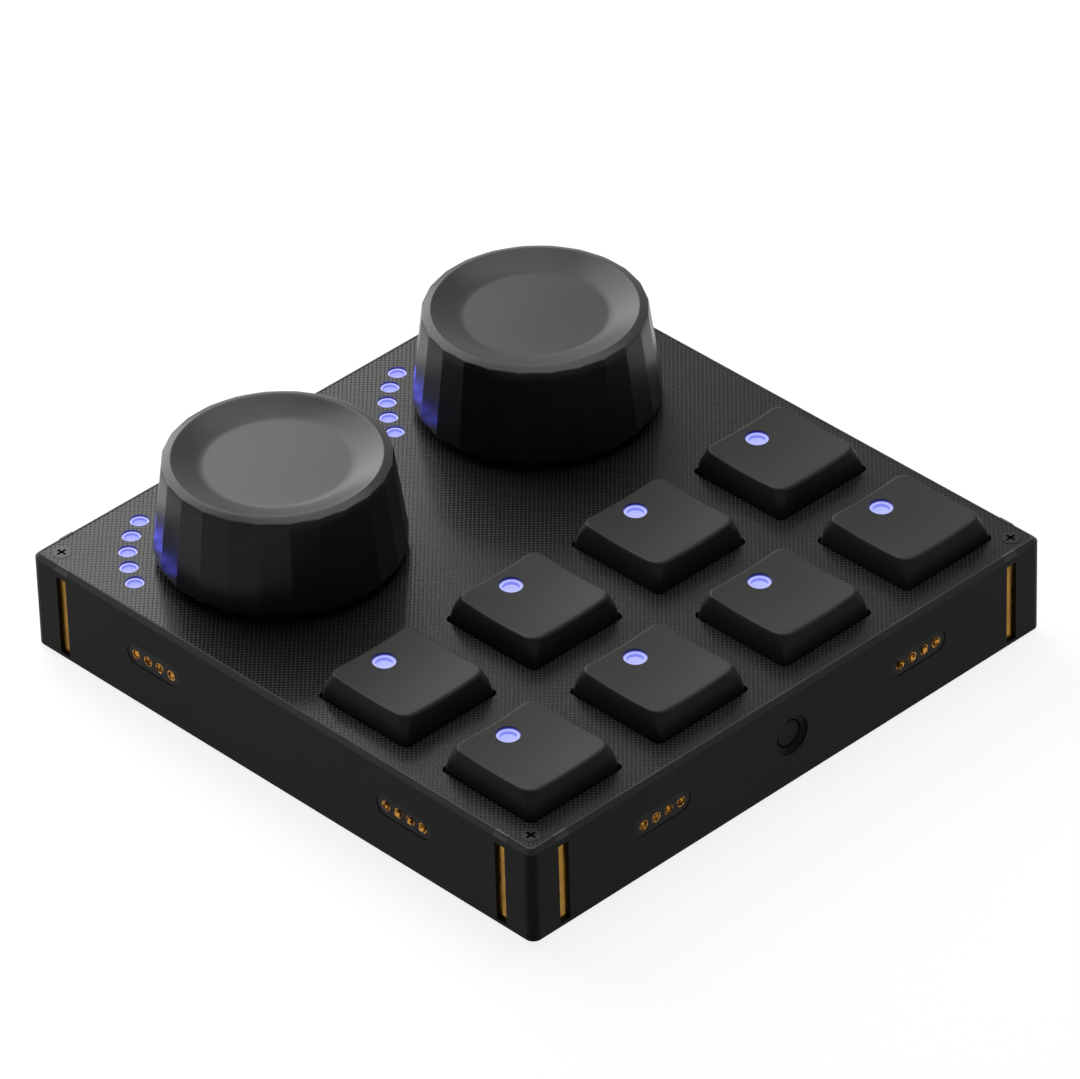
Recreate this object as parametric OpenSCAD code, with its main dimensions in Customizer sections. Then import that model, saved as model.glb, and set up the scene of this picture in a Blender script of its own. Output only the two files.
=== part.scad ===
// Square macro keypad module: eight low-profile keys, two large push-and-turn
// knobs, and pin connectors and bar magnets in all four sides for joining to
// other modules. Millimetres, +Z up, front (key side) towards -Y, origin at
// the centre of the footprint on the surface that the rubber feet stand on.

/* [Case] */
// Width and depth of the square case
case_w = 106.5; // [106:0.5:125]
// Height of the case from its underside to the top of the rim
case_h = 16.35; // [15.5:0.05:22]
// Radius of the vertical corners
case_r = 1.5; // [1.2:0.1:3]
// Chamfer round the top of the rim
rim_chamfer = 0.65; // [0.4:0.05:0.8]
// Flat land on top of the rim, between the chamfer and the faceplate
rim_land = 0.3; // [0.25:0.05:0.9]
// Chamfer round the bottom edge
base_chamfer = 0.1; // [0.05:0.05:0.5]
// Thickness of the floor
floor_t = 2; // [1.6:0.1:2.6]
// Thickness of the side walls
wall_t = 3.2; // [3:0.1:3.6]
// How far the rubber feet stand proud of the case
foot_proud = 0.5; // [0.3:0.1:1]
// Diameter of a rubber foot
foot_d = 8; // [6:0.5:11]
// Depth of the recess that holds a foot
foot_recess = 0.9; // [0.5:0.1:1.1]
// Distance of each foot from the case's sides
foot_inset = 11; // [9:0.5:16]

/* [Faceplate] */
// Thickness of the faceplate
plate_t = 1.6; // [1.2:0.1:2]
// How far the faceplate lies below the top of the rim
plate_inset = 0.05; // [0.05:0.05:0.3]
// Radius of the faceplate's corners
plate_r = 1; // [0.6:0.1:1.4]
// Distance of each faceplate screw from the case's sides
screw_inset = 3.25; // [3.2:0.05:3.6]
// Diameter of a faceplate screw's shank
screw_d = 1.6; // [1.2:0.1:1.8]
// Diameter of a faceplate screw's head
screw_head_d = 3; // [2.6:0.1:3.2]
// How far that head stands over the faceplate
screw_head_rise = 0.05; // [0.05:0.05:0.3]
// Length of a faceplate screw
screw_l = 8; // [5:0.5:9]
// Side of the square opening round each key
key_opening = 18.9; // [18.6:0.1:20]

/* [Keys] */
// Number of key columns
key_cols = 4; // [2:1:4]
// Number of key rows
key_rows = 2; // [1:1:2]
// Distance of the outer key columns from the case's sides
key_side = 14.4; // [14:0.05:16]
// Distance between the rows of keys
key_pitch = 25.9; // [24:0.1:26.5]
// Distance from the case's front to the row nearest to it
key_first_row = 14.4; // [13.6:0.05:15.6]
// Width of a keycap at its foot
cap_w = 18.1; // [17.6:0.1:18.3]
// Width of a keycap at its top
cap_top_w = 16.3; // [15.8:0.1:16.8]
// Height of a keycap's top edge over the faceplate
cap_rise = 3.9; // [3.6:0.05:5]
// Depth of a keycap's skirt below the faceplate's surface
cap_sink = 0.7; // [0.4:0.1:1]
// Radius of the sphere that dishes a keycap's top
cap_dish_r = 80; // [70:5:140]
// Thickness of a keycap's roof at the middle of its dish
cap_roof = 1.08; // [1:0.02:1.4]
// Travel of a key
key_travel = 3; // [2:0.1:3]
// Distance from a key's centre to its light window
window_y = 4.8; // [4.7:0.05:4.9]
// Diameter of a key's light window
window_d = 3.6; // [3.2:0.1:3.8]
// How far that window lies below the keycap's surface
window_sink = 0.4; // [0.2:0.05:0.5]
// Depth of the cup in the window
window_cup = 0.55; // [0.3:0.05:0.6]
// Diameter of that cup
window_cup_d = 2.7; // [2.2:0.1:2.7]

/* [Key switch] */
// Height of a switch from the board to the top of its stem
switch_h = 8.15; // [8:0.05:8.4]
// Side of the switch housing
switch_w = 13.8; // [13.4:0.1:13.8]
// Height of the lower housing over the board
switch_base_h = 2.2; // [2:0.1:2.4]
// Thickness of the switch housing's roof
switch_roof = 0.6; // [0.5:0.05:0.7]
// Width of the stem
stem_w = 10; // [9.4:0.1:10.2]
// Depth of the stem
stem_d = 4.8; // [4.6:0.1:5]
// Diameter of the post under the switch
post_d = 3.4; // [3.3:0.05:3.8]
// Outer diameter of the key spring
spring_d = 2.4; // [2:0.05:2.4]
// Diameter of the spring's wire
spring_wire = 0.3; // [0.22:0.02:0.32]
// Turns of the spring
spring_turns = 6; // [4:1:7]

/* [Knobs] */
// Distance of each knob's axis from the nearest side of the case
knob_x = 26.5; // [26:0.05:28]
// Distance of each knob's axis from the back of the case
knob_y = 26.5; // [26:0.05:27.5]
// Diameter over the corners near a knob's foot
knob_d = 38.2; // [36:0.2:40]
// Diameter over the corners at the outer edge of the sloping rim
knob_top_d = 34.6; // [33:0.1:36]
// Height of a knob
knob_h = 16.35; // [14:0.05:20]
// Gap between a knob and the faceplate
knob_gap = 0.9; // [0.8:0.05:1.5]
// Number of flat grip facets round a knob
knob_facets = 24; // [16:1:36]
// Rounding of a knob's foot
knob_foot_r = 1.2; // [0.5:0.1:1.6]
// Width of the rim that slopes outwards round the dish
knob_rim_w = 1.45; // [1:0.05:1.8]
// Height of that slope
knob_rim_h = 0.55; // [0.3:0.05:1]
// Depth of the dish
dish_depth = 1.45; // [1:0.05:2]
// Diameter of the flat disc in the dish
dish_flat_d = 23.2; // [20:0.2:26]
// Thickness of a knob's walls
knob_wall = 2.2; // [1.8:0.1:3]
// Diameter of the hub that grips the shaft
hub_d = 11; // [9.5:0.5:13]

/* [Encoders] */
// Side of an encoder's body
encoder_w = 12; // [11.6:0.1:12.6]
// Height of an encoder's body over the board
encoder_h = 6.3; // [6:0.05:6.4]
// Diameter of the encoder's shaft
shaft_d = 6; // [5.8:0.05:6.1]
// Diameter of the encoder's bushing
bushing_d = 7.2; // [7.1:0.05:8]
// Height of the bushing over the encoder's body
bushing_h = 4.6; // [3.5:0.1:4.8]
// Length of the shaft inside the knob's hub
shaft_grip = 7; // [5:0.1:7.2]
// Travel of a knob when it is pushed
push_travel = 0.5; // [0.3:0.05:0.5]

/* [Indicator lights] */
// Radius of each arc of lights round its knob's axis
arc_r = 23; // [22:0.1:23.3]
// Lights in an arc
arc_lights = 5; // [3:1:5]
// Angle between neighbouring lights
arc_step = 10; // [10:0.25:11]
// Diameter of a light
light_d = 3; // [2.6:0.1:3.2]
// How far a light lies below the faceplate's surface
light_sink = 0.35; // [0.1:0.05:0.5]
// Depth of the cup in a light
light_cup = 0.45; // [0.2:0.05:0.6]
// Thickness of the wall round that cup
light_wall = 0.25; // [0.2:0.05:0.4]

/* [Side connectors] */
// Distance of each connector from the nearest end of its side
con_offset = 26.5; // [25.5:0.05:27.5]
// Distance between neighbouring pins
pin_pitch = 2.54; // [2.5:0.01:2.6]
// Pins in a connector
pin_count = 4; // [3:1:4]
// Diameter of a pin's barrel
barrel_d = 1.85; // [1.7:0.05:2]
// Diameter of a spring plunger
plunger_d = 1.2; // [1:0.05:1.3]
// How far a plunger's tip stands out of the case
plunger_proud = 0.4; // [0.3:0.05:0.6]
// Travel of a plunger
plunger_travel = 0.7; // [0.4:0.05:0.8]
// Height of the connector's oval face
con_face_h = 3.6; // [3.2:0.1:4]
// Length of the connector's oval face
con_face_l = 11.3; // [11:0.1:12]
// How far the oval face lies inside the case's side
con_recess = 0.1; // [0.05:0.05:0.4]

/* [Magnets] */
// Distance of each bar magnet from the nearest end of its side
magnet_offset = 6.5; // [6.4:0.05:7.4]
// Width of a bar magnet
magnet_w = 2.4; // [2.3:0.05:2.5]
// Depth of a bar magnet
magnet_d = 1.4; // [1.2:0.05:1.45]
// Gap between a bar magnet and the faceplate over it
magnet_gap = 0.1; // [0.05:0.05:2]
// Width of the window that shows the magnet
magnet_window = 2; // [1.6:0.05:2.1]
// Thickness of the wall in front of a magnet
magnet_skin = 0.6; // [0.5:0.05:0.8]
// Length of the pad on the rim over each magnet
pad_l = 2.6; // [2.2:0.1:3]
// Width of that pad, out from the faceplate's edge
pad_w = 0.4; // [0.2:0.05:0.6]
// How far that pad stands over the rim
pad_rise = 0.06; // [0.04:0.01:0.15]

/* [Front button and socket] */
// Diameter of the recess round the front button
button_recess_d = 6.5; // [6:0.1:8]
// Depth of that recess
button_recess = 0.8; // [0.5:0.05:1]
// Diameter of the front button
button_d = 4.2; // [3.8:0.1:4.4]
// Gap round that button
button_gap = 0.15; // [0.1:0.05:0.25]
// Travel of the front button
button_travel = 0.4; // [0.2:0.05:0.4]
// Width of the socket in the back
usb_w = 8.94; // [8.8:0.02:9.1]
// Height of the socket
usb_h = 3.26; // [3.1:0.02:3.4]
// Length of the socket
usb_l = 7.3; // [6.5:0.1:8]
// Thickness of the socket's shell
usb_shell = 0.3; // [0.2:0.02:0.4]

/* [Main board] */
// Thickness of the main board
board_t = 1.6; // [1.2:0.1:1.6]
// Gap between the main board and the walls
board_gap = 0.4; // [0.3:0.05:0.6]
// Diameter of a board screw's shank
board_screw_d = 2; // [1.6:0.1:2.2]
// Diameter of a board screw's head
board_head_d = 3.8; // [3.4:0.1:4.2]
// Diameter of a standoff
standoff_d = 6; // [5:0.5:7]

/* [Hidden] */

$fn = 64;
// Clearance between fixed pieces that fit together
fit = 0.05;
// Clearance round pieces that slide
slide = 0.1;
// Radial clearance of a turning shaft
run = 0.05;
// Overshoot of a cut past the face that it opens
cut = 1;

half = case_w / 2;
rim_z = foot_proud + case_h;
plate_top = rim_z - plate_inset;
plate_bottom = plate_top - plate_t;
plate_half = half - rim_chamfer - rim_land - fit;
floor_z = foot_proud + floor_t;
inner_half = half - wall_t;
inner_r = 1.5;
screw_pos = half - screw_inset;
boss_wall = 1.5;
boss_r = screw_head_d / 2 + boss_wall;
screw_head_h = (screw_head_d - screw_d) / 2;

// A keycap: its top edge, the middle of its dish and its ceiling
cap_edge_z = plate_top + cap_rise;
cap_mid_z = cap_edge_z - pow(cap_top_w / 2, 2) / (2 * cap_dish_r);
cap_foot_z = plate_top - cap_sink;
cap_corner_z = cap_edge_z + 0.4;
cap_corner_in = 0.35;
cap_foot_r = 0.8;
cap_top_r = 1.9;
cap_wall = 1.1;
ceiling_z = cap_mid_z - cap_roof;
cap_inner_top_w = cap_top_w - 1.9;
prong_x = 2.85;
prong = [1.2, 3, 2.5];
window_step = 0.2;
window_top = cap_mid_z + pow(window_y, 2) / (2 * cap_dish_r) - window_sink;
window_flange = 0.35;

// The board hangs below the keycaps by the height of a switch
board_top = ceiling_z - switch_h;
board_bottom = board_top - board_t;
board_half = inner_half - board_gap;
board_screw_head_h = 1.3;
board_screw_seat = 1;

// Each arc of lights, and the inner end of the right-hand one
arc_mid = 135;
arc_span = (arc_lights - 1) * arc_step;
arc_end = [half - knob_x, half - knob_y]
    + arc_r * [cos(arc_mid + arc_span / 2), sin(arc_mid + arc_span / 2)];

// Standoffs: beside that end, behind the outer keys, and between the rows of keys
standoff_back = arc_end + [-5.9, 1.5];
standoff_side = inner_half - 5.3;
standoff_gap = 0.5;
standoff_y = key_y(0) + (key_opening + standoff_d) / 2 + standoff_gap;
standoffs = [standoff_back, [-standoff_side, standoff_y], [standoff_side, standoff_y],
    [0, key_y(0) - key_pitch / 2]];

// A switch, measured up from the board
switch_floor = 0.5;
flange_t = 0.65;
flange_w = stem_w + 1.6;
flange_d = stem_d + 1;
stop_gap = 0.05;
cavity_top = switch_floor + key_travel + flange_t + 2 * stop_gap;
switch_top_h = cavity_top + switch_roof;
post_wall = 0.3;
post_floor = 0.4;
post_l = 2.5;
spring_bore = 1;
light_slot = [3.8, 2.6];
key_light = [2, 1.6, 0.8];
arc_light = [2, 2, 1];

knob_bottom = plate_top + knob_gap;
knob_top = knob_bottom + knob_h;
knob_ceiling = knob_top - dish_depth - knob_wall;
encoder_top = board_top + encoder_h;
bushing_top = encoder_top + bushing_h;
hub_bottom = bushing_top + push_travel + 2 * slide;
push_plate_t = 0.8;
rotor_t = 0.8;
rotor_d = shaft_d + 2;
push_plate_d = rotor_d - 0.4;
chamber_z = board_top + 0.6;
push_plate_z = chamber_z + push_travel + slide;
rotor_z = push_plate_z + push_plate_t + stop_gap;
chamber_top = rotor_z + rotor_t + stop_gap;
shaft_flat = shaft_d / 2 - 1.5;

// Side connectors, drawn on the front side and turned to the other three
con_x = half - con_offset;
con_z = board_top - 1.6;
con_flange = [14, 1.8, 6];
block_front = -half + con_recess;
block_back = -inner_half + con_flange[1];
tail_l = 0.8;
tail_d = 0.8;
plunger_l = 2.7;
plunger_room = 0.9;
barrel_bore_l = plunger_l - plunger_proud - con_recess + plunger_travel + plunger_room;

// A magnet is dropped in behind the rim and pushed outwards against its skin
magnet_z = foot_proud + 0.7;
magnet_l = plate_bottom - magnet_gap - magnet_z;
magnet_pocket_d = rim_chamfer + rim_land + magnet_d + 2 * fit - magnet_skin;
button_z = board_top - 2.1;
button_front = -half + button_recess;
button_flange = [6.2, 0.8];
button_switch = [6, 3.4, 3.5];
button_switch_gap = 1.5;
button_switch_y = -inner_half + button_switch_gap;
button_stub_d = 3;
button_stub_l = 0.6;

usb_inset = 0.5;
usb_tongue = [6.7, 0.7];
usb_tongue_inset = 0.8;

spring_steps = 8;

// Keys are counted along the back row first, and the front row holds its place
function key_x(i) =
    (2 * (i % key_cols) / (key_cols - 1) - 1) * (half - key_side);
function key_y(i) =
    key_first_row - half + (key_rows - 1 - floor(i / key_cols)) * key_pitch;
function is_key(i) = i < key_cols * key_rows;
keys = [for (i = [0 : key_cols * key_rows - 1]) i];

// ---- Shared shapes ----

// Square plate with round corners, standing on z
module round_plate(w, r, z, h) {
    translate([0, 0, z]) linear_extrude(h) union() {
        square([w - 2 * r, w], center = true);
        square([w, w - 2 * r], center = true);
        for (x = [-1, 1], y = [-1, 1]) translate([x, y] * (w / 2 - r)) circle(r);
    }
}

// Square block with round corners and a chamfer round its bottom and its top
module chamfer_block(w, r, z, h, low, high) {
    a = w / 2;
    side = [[a - low, 0], [a, low], [a, h - high], [a - high, h]];
    mirrored = [for (p = side) [-p[0], p[1]]];
    corner = [for (p = side) [p[0] - a + r, p[1]]];
    translate([0, 0, z]) {
        for (t = [0, 90]) rotate(t) along_y() linear_extrude(w - 2 * r, center = true)
            polygon(concat(side, [for (k = [3 : -1 : 0]) mirrored[k]]));
        at_corners(a - r) rotate_extrude() polygon(concat([[0, 0]], corner, [[0, h]]));
    }
}

// Box centred on X and Y, standing on z
module post_box(size, z) {
    translate([-size[0] / 2, -size[1] / 2, z]) cube(size);
}

// Rod along Y from y0 to y1
module y_rod(d, y0, y1) {
    translate([0, y1, 0]) rotate([90, 0, 0]) cylinder(h = y1 - y0, d = d);
}

// Oval bar along Y from y0 to y1
module y_oval(l, h, y0, y1) {
    for (x = [-1, 1]) translate([x * (l - h) / 2, 0, 0]) y_rod(h, y0, y1);
    translate([-(l - h) / 2, y0, -h / 2]) cube([l - h, y1 - y0, h]);
}

// Turns a flat outline's Y upwards, so that it is extruded along Y
module along_y() {
    rotate([90, 0, 0]) children();
}

module at_sides() {
    for (a = [0 : 90 : 270]) rotate(a) children();
}

module at_corners(d) {
    for (x = [-1, 1], y = [-1, 1]) translate([x * d, y * d, 0]) children();
}

module at_keys() {
    for (i = keys) translate([key_x(i), key_y(i), 0]) children();
}

module at_knob(side) {
    translate([side * (half - knob_x), half - knob_y, 0]) children();
}

module at_knobs() {
    for (side = [-1, 1]) at_knob(side) children();
}

// Each light of an arc, centred on the diagonal towards the left back corner
module at_arc() {
    for (i = [0 : arc_lights - 1]) {
        a = arc_mid - arc_span / 2 + i * arc_step;
        translate([cos(a), sin(a), 0] * arc_r) rotate(a) children();
    }
}

module at_pins(side) {
    for (i = [0 : pin_count - 1])
        translate([side * con_x + (i - (pin_count - 1) / 2) * pin_pitch, 0, con_z])
            children();
}

// ---- Case ----

module case_inside() {
    difference() {
        round_plate(2 * inner_half, inner_r, floor_z, case_h);
        at_corners(screw_pos) translate([0, 0, floor_z - cut])
            cylinder(h = plate_bottom - floor_z + cut, r = boss_r);
        for (p = standoffs) translate([p[0], p[1], floor_z - cut])
            cylinder(h = board_bottom - floor_z + cut, d = standoff_d);
    }
    round_plate(2 * (plate_half + fit), plate_r, plate_bottom, case_h);
}

// Places the mouths of both magnets of the front side
module at_magnets() {
    for (x = [-1, 1]) translate([x * (half - magnet_offset), -half, 0]) children();
}

// Pocket of a bar magnet, open under the faceplate's edge, and its window
module magnet_pocket() {
    at_magnets() {
        translate([-magnet_w / 2 - fit, magnet_skin, magnet_z])
            cube([magnet_w + 2 * fit, magnet_pocket_d, plate_bottom - magnet_z]);
        translate([-magnet_window / 2, -cut, magnet_z])
            cube([magnet_window, magnet_skin + 2 * cut, magnet_l]);
    }
}

// Low pad on the rim over each magnet, ended by the cut for the faceplate
module rim_pads() {
    at_magnets() translate([-pad_l / 2, rim_chamfer + rim_land - pad_w, rim_z - rim_chamfer])
        cube([pad_l, pad_w + fit, rim_chamfer + pad_rise]);
}

module connector_windows() {
    for (x = [-1, 1]) translate([x * con_x, 0, con_z])
        y_oval(con_face_l + 2 * fit, con_face_h + 2 * fit, -half - cut, -inner_half + cut);
}

// Bowl round the front button, rounded down to the bore that the button slides in
module button_bore() {
    bore_r = button_d / 2 + button_gap;
    bowl_w = button_recess_d / 2 - bore_r;
    bowl = [for (t = [0 : 15 : 90]) [bore_r + bowl_w * cos(t), button_recess * sin(t)]];
    translate([0, 0, button_z]) {
        translate([0, -half, 0]) rotate([-90, 0, 0]) rotate_extrude() polygon(concat(
            [[0, button_recess], [0, -cut], [button_recess_d / 2, -cut]], bowl));
        y_rod(2 * bore_r, button_front - cut / 2, -inner_half + cut);
    }
}

module usb_opening() {
    translate([0, 0, board_top + usb_h / 2])
        y_oval(usb_w + 2 * slide, usb_h + 2 * slide, inner_half - cut, half + cut);
}

module case() {
    color([0.09, 0.09, 0.09]) difference() {
        union() {
            chamfer_block(case_w, case_r, foot_proud, case_h, base_chamfer, rim_chamfer);
            at_sides() rim_pads();
        }
        case_inside();
        at_sides() magnet_pocket();
        at_sides() connector_windows();
        button_bore();
        usb_opening();
        at_corners(half - foot_inset) translate([0, 0, foot_proud - cut])
            cylinder(h = foot_recess + cut, d = foot_d + 2 * fit);
        at_corners(screw_pos) translate([0, 0, plate_top - screw_l - slide])
            cylinder(h = screw_l + cut, d = screw_d + 2 * fit);
        for (p = standoffs) translate([p[0], p[1], floor_z])
            cylinder(h = case_h, d = board_screw_d + 2 * fit);
    }
}

module rubber_feet() {
    color([0.05, 0.05, 0.05]) at_corners(half - foot_inset)
        cylinder(h = foot_proud + foot_recess, d = foot_d);
}

// ---- Faceplate ----

module faceplate() {
    color([0.13, 0.13, 0.12]) difference() {
        round_plate(2 * plate_half, plate_r, plate_bottom, plate_t);
        at_keys() round_plate(key_opening, 1, plate_bottom - cut, plate_t + 2 * cut);
        at_knobs() {
            post_box([encoder_w + 4 * slide, encoder_w + 4 * slide, plate_t + 2 * cut],
                plate_bottom - cut);
            at_arc() translate([0, 0, plate_bottom - cut])
                cylinder(h = plate_t + 2 * cut, d = light_d);
        }
        at_corners(screw_pos) {
            translate([0, 0, plate_bottom - cut])
                cylinder(h = plate_t + 2 * cut, d = screw_d + 2 * fit);
            translate([0, 0, plate_top - screw_head_h])
                cylinder(h = screw_head_h, d1 = screw_d + 2 * fit, d2 = screw_head_d + 2 * fit);
        }
    }
}

module faceplate_screws() {
    cross = [1.75, 0.4, 0.55];
    color([0.07, 0.07, 0.07]) at_corners(screw_pos) difference() {
        union() {
            translate([0, 0, plate_top - screw_l]) cylinder(h = screw_l, d = screw_d);
            translate([0, 0, plate_top - screw_head_h])
                cylinder(h = screw_head_h, d1 = screw_d, d2 = screw_head_d);
            translate([0, 0, plate_top - fit])
                cylinder(h = screw_head_rise + fit, d = screw_head_d);
        }
        for (a = [0, 90]) rotate(a)
            post_box(cross + [0, 0, cut], plate_top + screw_head_rise - cross[2]);
    }
}

// ---- Main board ----

module main_board() {
    notch_y = -block_back - tail_l;
    color([0.05, 0.16, 0.10]) difference() {
        round_plate(2 * board_half, 1, board_bottom, board_t);
        at_corners(screw_pos) translate([0, 0, board_bottom - cut])
            cylinder(h = board_t + 2 * cut, r = boss_r + board_gap);
        at_sides() for (x = [-1, 1])
            translate([x * con_x, -board_half, 0])
                post_box([con_flange[0] + 2 * slide, 2 * (board_half - notch_y),
                    board_t + 2 * cut], board_bottom - cut);
        translate([0, button_switch_y, 0])
            post_box([button_flange[0] + 2 * slide, 2 * (button_switch[1] + fit),
                board_t + 2 * cut], board_bottom - cut);
        at_keys() translate([0, 0, board_bottom - cut])
            cylinder(h = board_t + 2 * cut, d = post_d + 2 * fit);
        for (p = standoffs) translate([p[0], p[1], board_bottom - cut])
            cylinder(h = board_t + 2 * cut, d = board_screw_d + 2 * fit);
    }
}

module board_screws() {
    cross = [1.9, 0.5, 0.65];
    tip_z = floor_z + board_screw_seat;
    head_top = board_top + board_screw_head_h;
    color([0.75, 0.75, 0.76]) for (p = standoffs) translate([p[0], p[1], 0])
        difference() {
            union() {
                translate([0, 0, tip_z])
                    cylinder(h = board_top - tip_z + fit, d = board_screw_d);
                translate([0, 0, board_top]) cylinder(h = board_screw_head_h, d = board_head_d);
            }
            for (a = [0, 90]) rotate(a) post_box(cross + [0, 0, cut], head_top - cross[2]);
        }
}

module board_lights() {
    color([0.85, 0.87, 0.95]) {
        at_keys() translate([0, window_y, 0]) post_box(key_light, board_top);
        at_knobs() at_arc() post_box(arc_light, board_top);
    }
}

// One moulding for each knob: an arc under the faceplate with a post for each light
module light_pipes() {
    bar_t = 1.2;
    bar_w = light_d + 0.6;
    foot_z = board_top + arc_light[2] + 2 * slide;
    post_top = plate_top - light_sink;
    post_w = light_d - 2 * fit;
    color([0.72, 0.76, 1]) at_knobs() {
        rotate(arc_mid - arc_span / 2) rotate_extrude(angle = arc_span)
            translate([arc_r - bar_w / 2, plate_bottom - bar_t]) square([bar_w, bar_t]);
        at_arc() difference() {
            union() {
                translate([0, 0, foot_z]) cylinder(h = post_top - foot_z, d = post_w);
                translate([0, 0, plate_bottom - bar_t]) cylinder(h = bar_t, d = bar_w);
            }
            translate([0, 0, post_top - light_cup])
                cylinder(h = light_cup + cut, d = post_w - 2 * light_wall);
        }
    }
}

// ---- Keys ----

module light_slot_cut(z, h) {
    translate([0, window_y, 0]) post_box([light_slot[0], light_slot[1], h], z);
}

module switch_bases() {
    rib = [switch_w + 1.2, switch_w + 1.2, 0.5];
    color([0.15, 0.15, 0.16]) at_keys() difference() {
        union() {
            post_box([switch_w, switch_w, switch_base_h], board_top);
            post_box(rib, board_top + switch_base_h - rib[2]);
            translate([0, 0, board_top - post_l]) cylinder(h = post_l + fit, d = post_d);
        }
        post_box([flange_w + 4 * slide, flange_d + 2 * slide, switch_h],
            board_top + switch_floor);
        translate([0, 0, board_top - post_l + post_floor])
            cylinder(h = post_l + cut, d = post_d - 2 * post_wall);
        light_slot_cut(board_top - cut, switch_h);
    }
}

module switch_tops() {
    base = board_top + switch_base_h;
    color([0.55, 0.57, 0.62]) at_keys() difference() {
        post_box([switch_w, switch_w, switch_top_h - switch_base_h], base);
        post_box([flange_w + 4 * slide, flange_d + 2 * slide, cavity_top - switch_base_h + cut],
            base - cut);
        post_box([stem_w + 2 * slide, stem_d + 2 * slide, switch_h], base);
        light_slot_cut(base - cut, switch_h);
    }
}

module key_stem(i) {
    flange_z = board_top + cavity_top - stop_gap - flange_t;
    slot = prong + [2 * fit, 2 * fit, fit];
    color([0.82, 0.35, 0.22]) translate([key_x(i), key_y(i), 0]) difference() {
        union() {
            post_box([flange_w, flange_d, flange_t], flange_z);
            post_box([stem_w, stem_d, ceiling_z - flange_z], flange_z);
        }
        for (x = [-1, 1]) translate([x * prong_x, 0, 0])
            post_box(slot + [0, 0, cut], ceiling_z - slot[2]);
        translate([0, 0, flange_z - cut])
            cylinder(h = spring_bore + cut, d = spring_d + 4 * slide);
    }
}

// Least distance between the wire's surfaces, half a turn or more apart along it
function coil_gap(path, wire) = min([for (a = [0 : len(path) - 1])
    for (b = [a + spring_steps / 2 : len(path) - 1]) norm(path[a] - path[b])]) - wire;

// Coil spring as one wire swept along a helix
module key_spring(i) {
    rings = spring_turns * spring_steps;
    sides = 6;
    coil_r = (spring_d - spring_wire) / 2;
    wire_r = spring_wire / 2;
    z0 = board_top - post_l + post_floor + wire_r + stop_gap / 2;
    z1 = board_top + cavity_top - stop_gap - flange_t + spring_bore - wire_r - stop_gap / 2;
    turn = 360 / spring_steps;
    path = [for (k = [0 : rings])
        [coil_r * cos(turn * k), coil_r * sin(turn * k), z0 + (z1 - z0) * k / rings]];
    pts = [for (k = [0 : rings]) for (s = [0 : sides - 1])
        let (b = 360 * s / sides, r = coil_r + wire_r * cos(b))
            [r * cos(turn * k), r * sin(turn * k), path[k][2] + wire_r * sin(b)]];
    ring_faces = [for (k = [0 : rings - 1], s = [0 : sides - 1])
        let (n = (s + 1) % sides, a = k * sides, b = a + sides)
            each [[a + s, b + s, b + n], [a + s, b + n, a + n]]];
    start = [for (s = [1 : sides - 2]) [0, s, s + 1]];
    last = rings * sides;
    end = [for (s = [1 : sides - 2]) [last, last + s + 1, last + s]];
    if (i == 0) echo("Least gap between a spring's turns", coil_gap(path, spring_wire));
    color([0.78, 0.78, 0.8]) translate([key_x(i), key_y(i), 0])
        polyhedron(points = pts, faces = concat(ring_faces, start, end));
}

// Thin slice of the cap's outline, for the hull
module cap_slice(w, r, z) {
    translate([0, 0, z]) for (x = [-1, 1], y = [-1, 1])
        translate([x, y] * (w / 2 - r)) cylinder(h = 0.01, r = r, $fn = 32);
}

// Solid cap, whose sides stand straight at the foot and curve in towards the top
module cap_body() {
    hull() {
        for (t = [0, 0.3, 0.55, 0.75, 0.9, 1])
            cap_slice(cap_w - (cap_w - cap_top_w) * pow(t, 2.5),
                cap_foot_r + (cap_top_r - cap_foot_r) * pow(t, 2),
                cap_foot_z + (cap_edge_z - cap_foot_z) * t);
        cap_slice(cap_top_w - 2 * cap_corner_in, cap_top_r, cap_corner_z);
    }
}

module keycap(i) {
    color([0.12, 0.12, 0.12]) translate([key_x(i), key_y(i), 0]) {
        difference() {
            cap_body();
            translate([0, 0, cap_mid_z + cap_dish_r]) sphere(r = cap_dish_r, $fn = 128);
            cap_inside();
            translate([0, window_y, ceiling_z - cut])
                cylinder(h = switch_h, d = window_d - 2 * window_step);
            translate([0, window_y, window_top - window_flange])
                cylinder(h = switch_h, d = window_d);
        }
        for (x = [-1, 1]) translate([x * prong_x, 0, 0])
            post_box(prong + [0, 0, fit], ceiling_z - prong[2]);
    }
}

// Hollow of the cap: straight at the skirt and narrower under the roof
module cap_inside() {
    w = cap_w - 2 * cap_wall;
    knee = 0.45 * (ceiling_z - cap_foot_z);
    profile = [[-w / 2, -cut], [w / 2, -cut], [w / 2, knee],
        [cap_inner_top_w / 2, ceiling_z - cap_foot_z],
        [-cap_inner_top_w / 2, ceiling_z - cap_foot_z], [-w / 2, knee]];
    translate([0, 0, cap_foot_z]) intersection() {
        along_y() linear_extrude(cap_w * 2, center = true) polygon(profile);
        rotate(90) along_y() linear_extrude(cap_w * 2, center = true) polygon(profile);
    }
}

// Cup of clear plastic, whose flange rests on the step in the cap's hole
module key_window(i) {
    color([0.75, 0.78, 1]) translate([key_x(i), key_y(i) + window_y, 0]) difference() {
        union() {
            translate([0, 0, ceiling_z])
                cylinder(h = window_top - ceiling_z, d = window_d - 2 * window_step - 2 * fit);
            translate([0, 0, window_top - window_flange])
                cylinder(h = window_flange, d = window_d - 2 * fit);
        }
        translate([0, 0, window_top - window_cup])
            cylinder(h = window_cup + cut, d = window_cup_d);
    }
}

// ---- Knobs and encoders ----

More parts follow.
